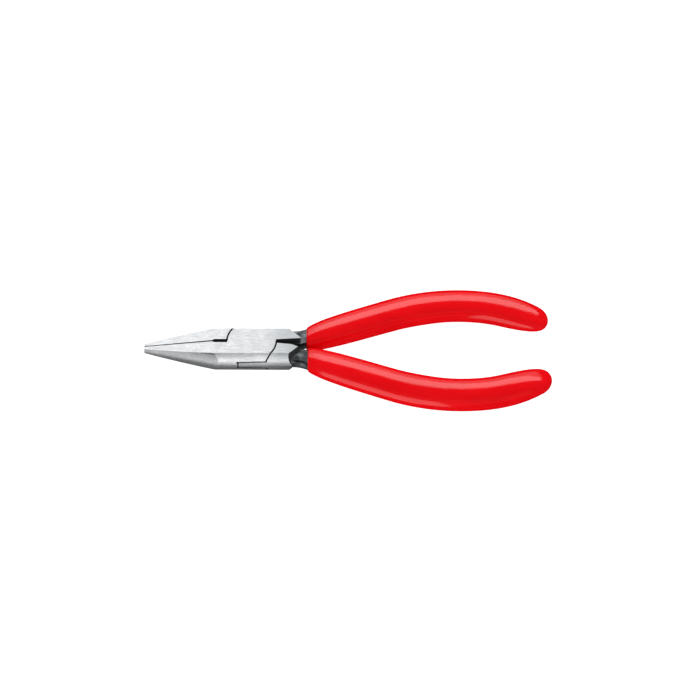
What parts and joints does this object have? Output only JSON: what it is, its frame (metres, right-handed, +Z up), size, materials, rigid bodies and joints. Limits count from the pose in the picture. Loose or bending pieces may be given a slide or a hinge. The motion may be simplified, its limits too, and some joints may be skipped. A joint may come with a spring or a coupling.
{
  "type": "long nose pliers",
  "caption": "Small long nose pliers with tapered flat-topped jaws, a ground box joint and bowed handles dipped in red plastic.",
  "frame": {"origin": "on the pivot axis, in the plane of the head's lower ground flat, which the closed tool rests on", "axes": "+Z up along the pivot axis; the jaws point to -X and the handles to +X; -Y is the side nearest the viewer of the picture"},
  "size_m": [0.1253, 0.0446, 0.0084],
  "materials": {
    "ground_steel": "ground bright on the head, blackened on the necks and in the joint",
    "rivet_steel": "ground flush with the head",
    "dipped_plastic": "smooth gloss"
  },
  "bodies": {
    "box_lever": {"box_half": "ground_steel", "pivot_rivet": "rivet_steel", "box_half_grip": "dipped_plastic"},
    "tongue_lever": {"tongue_half": "ground_steel", "tongue_half_grip": "dipped_plastic"}
  },
  "joints": [
    {"name": "pivot", "type": "hinge", "parent": "box_lever", "child": "tongue_lever", "pos_m": [0, 0, 0.0042], "axis": [0, 0, -1], "range_deg": [0, 40]}
  ]
}
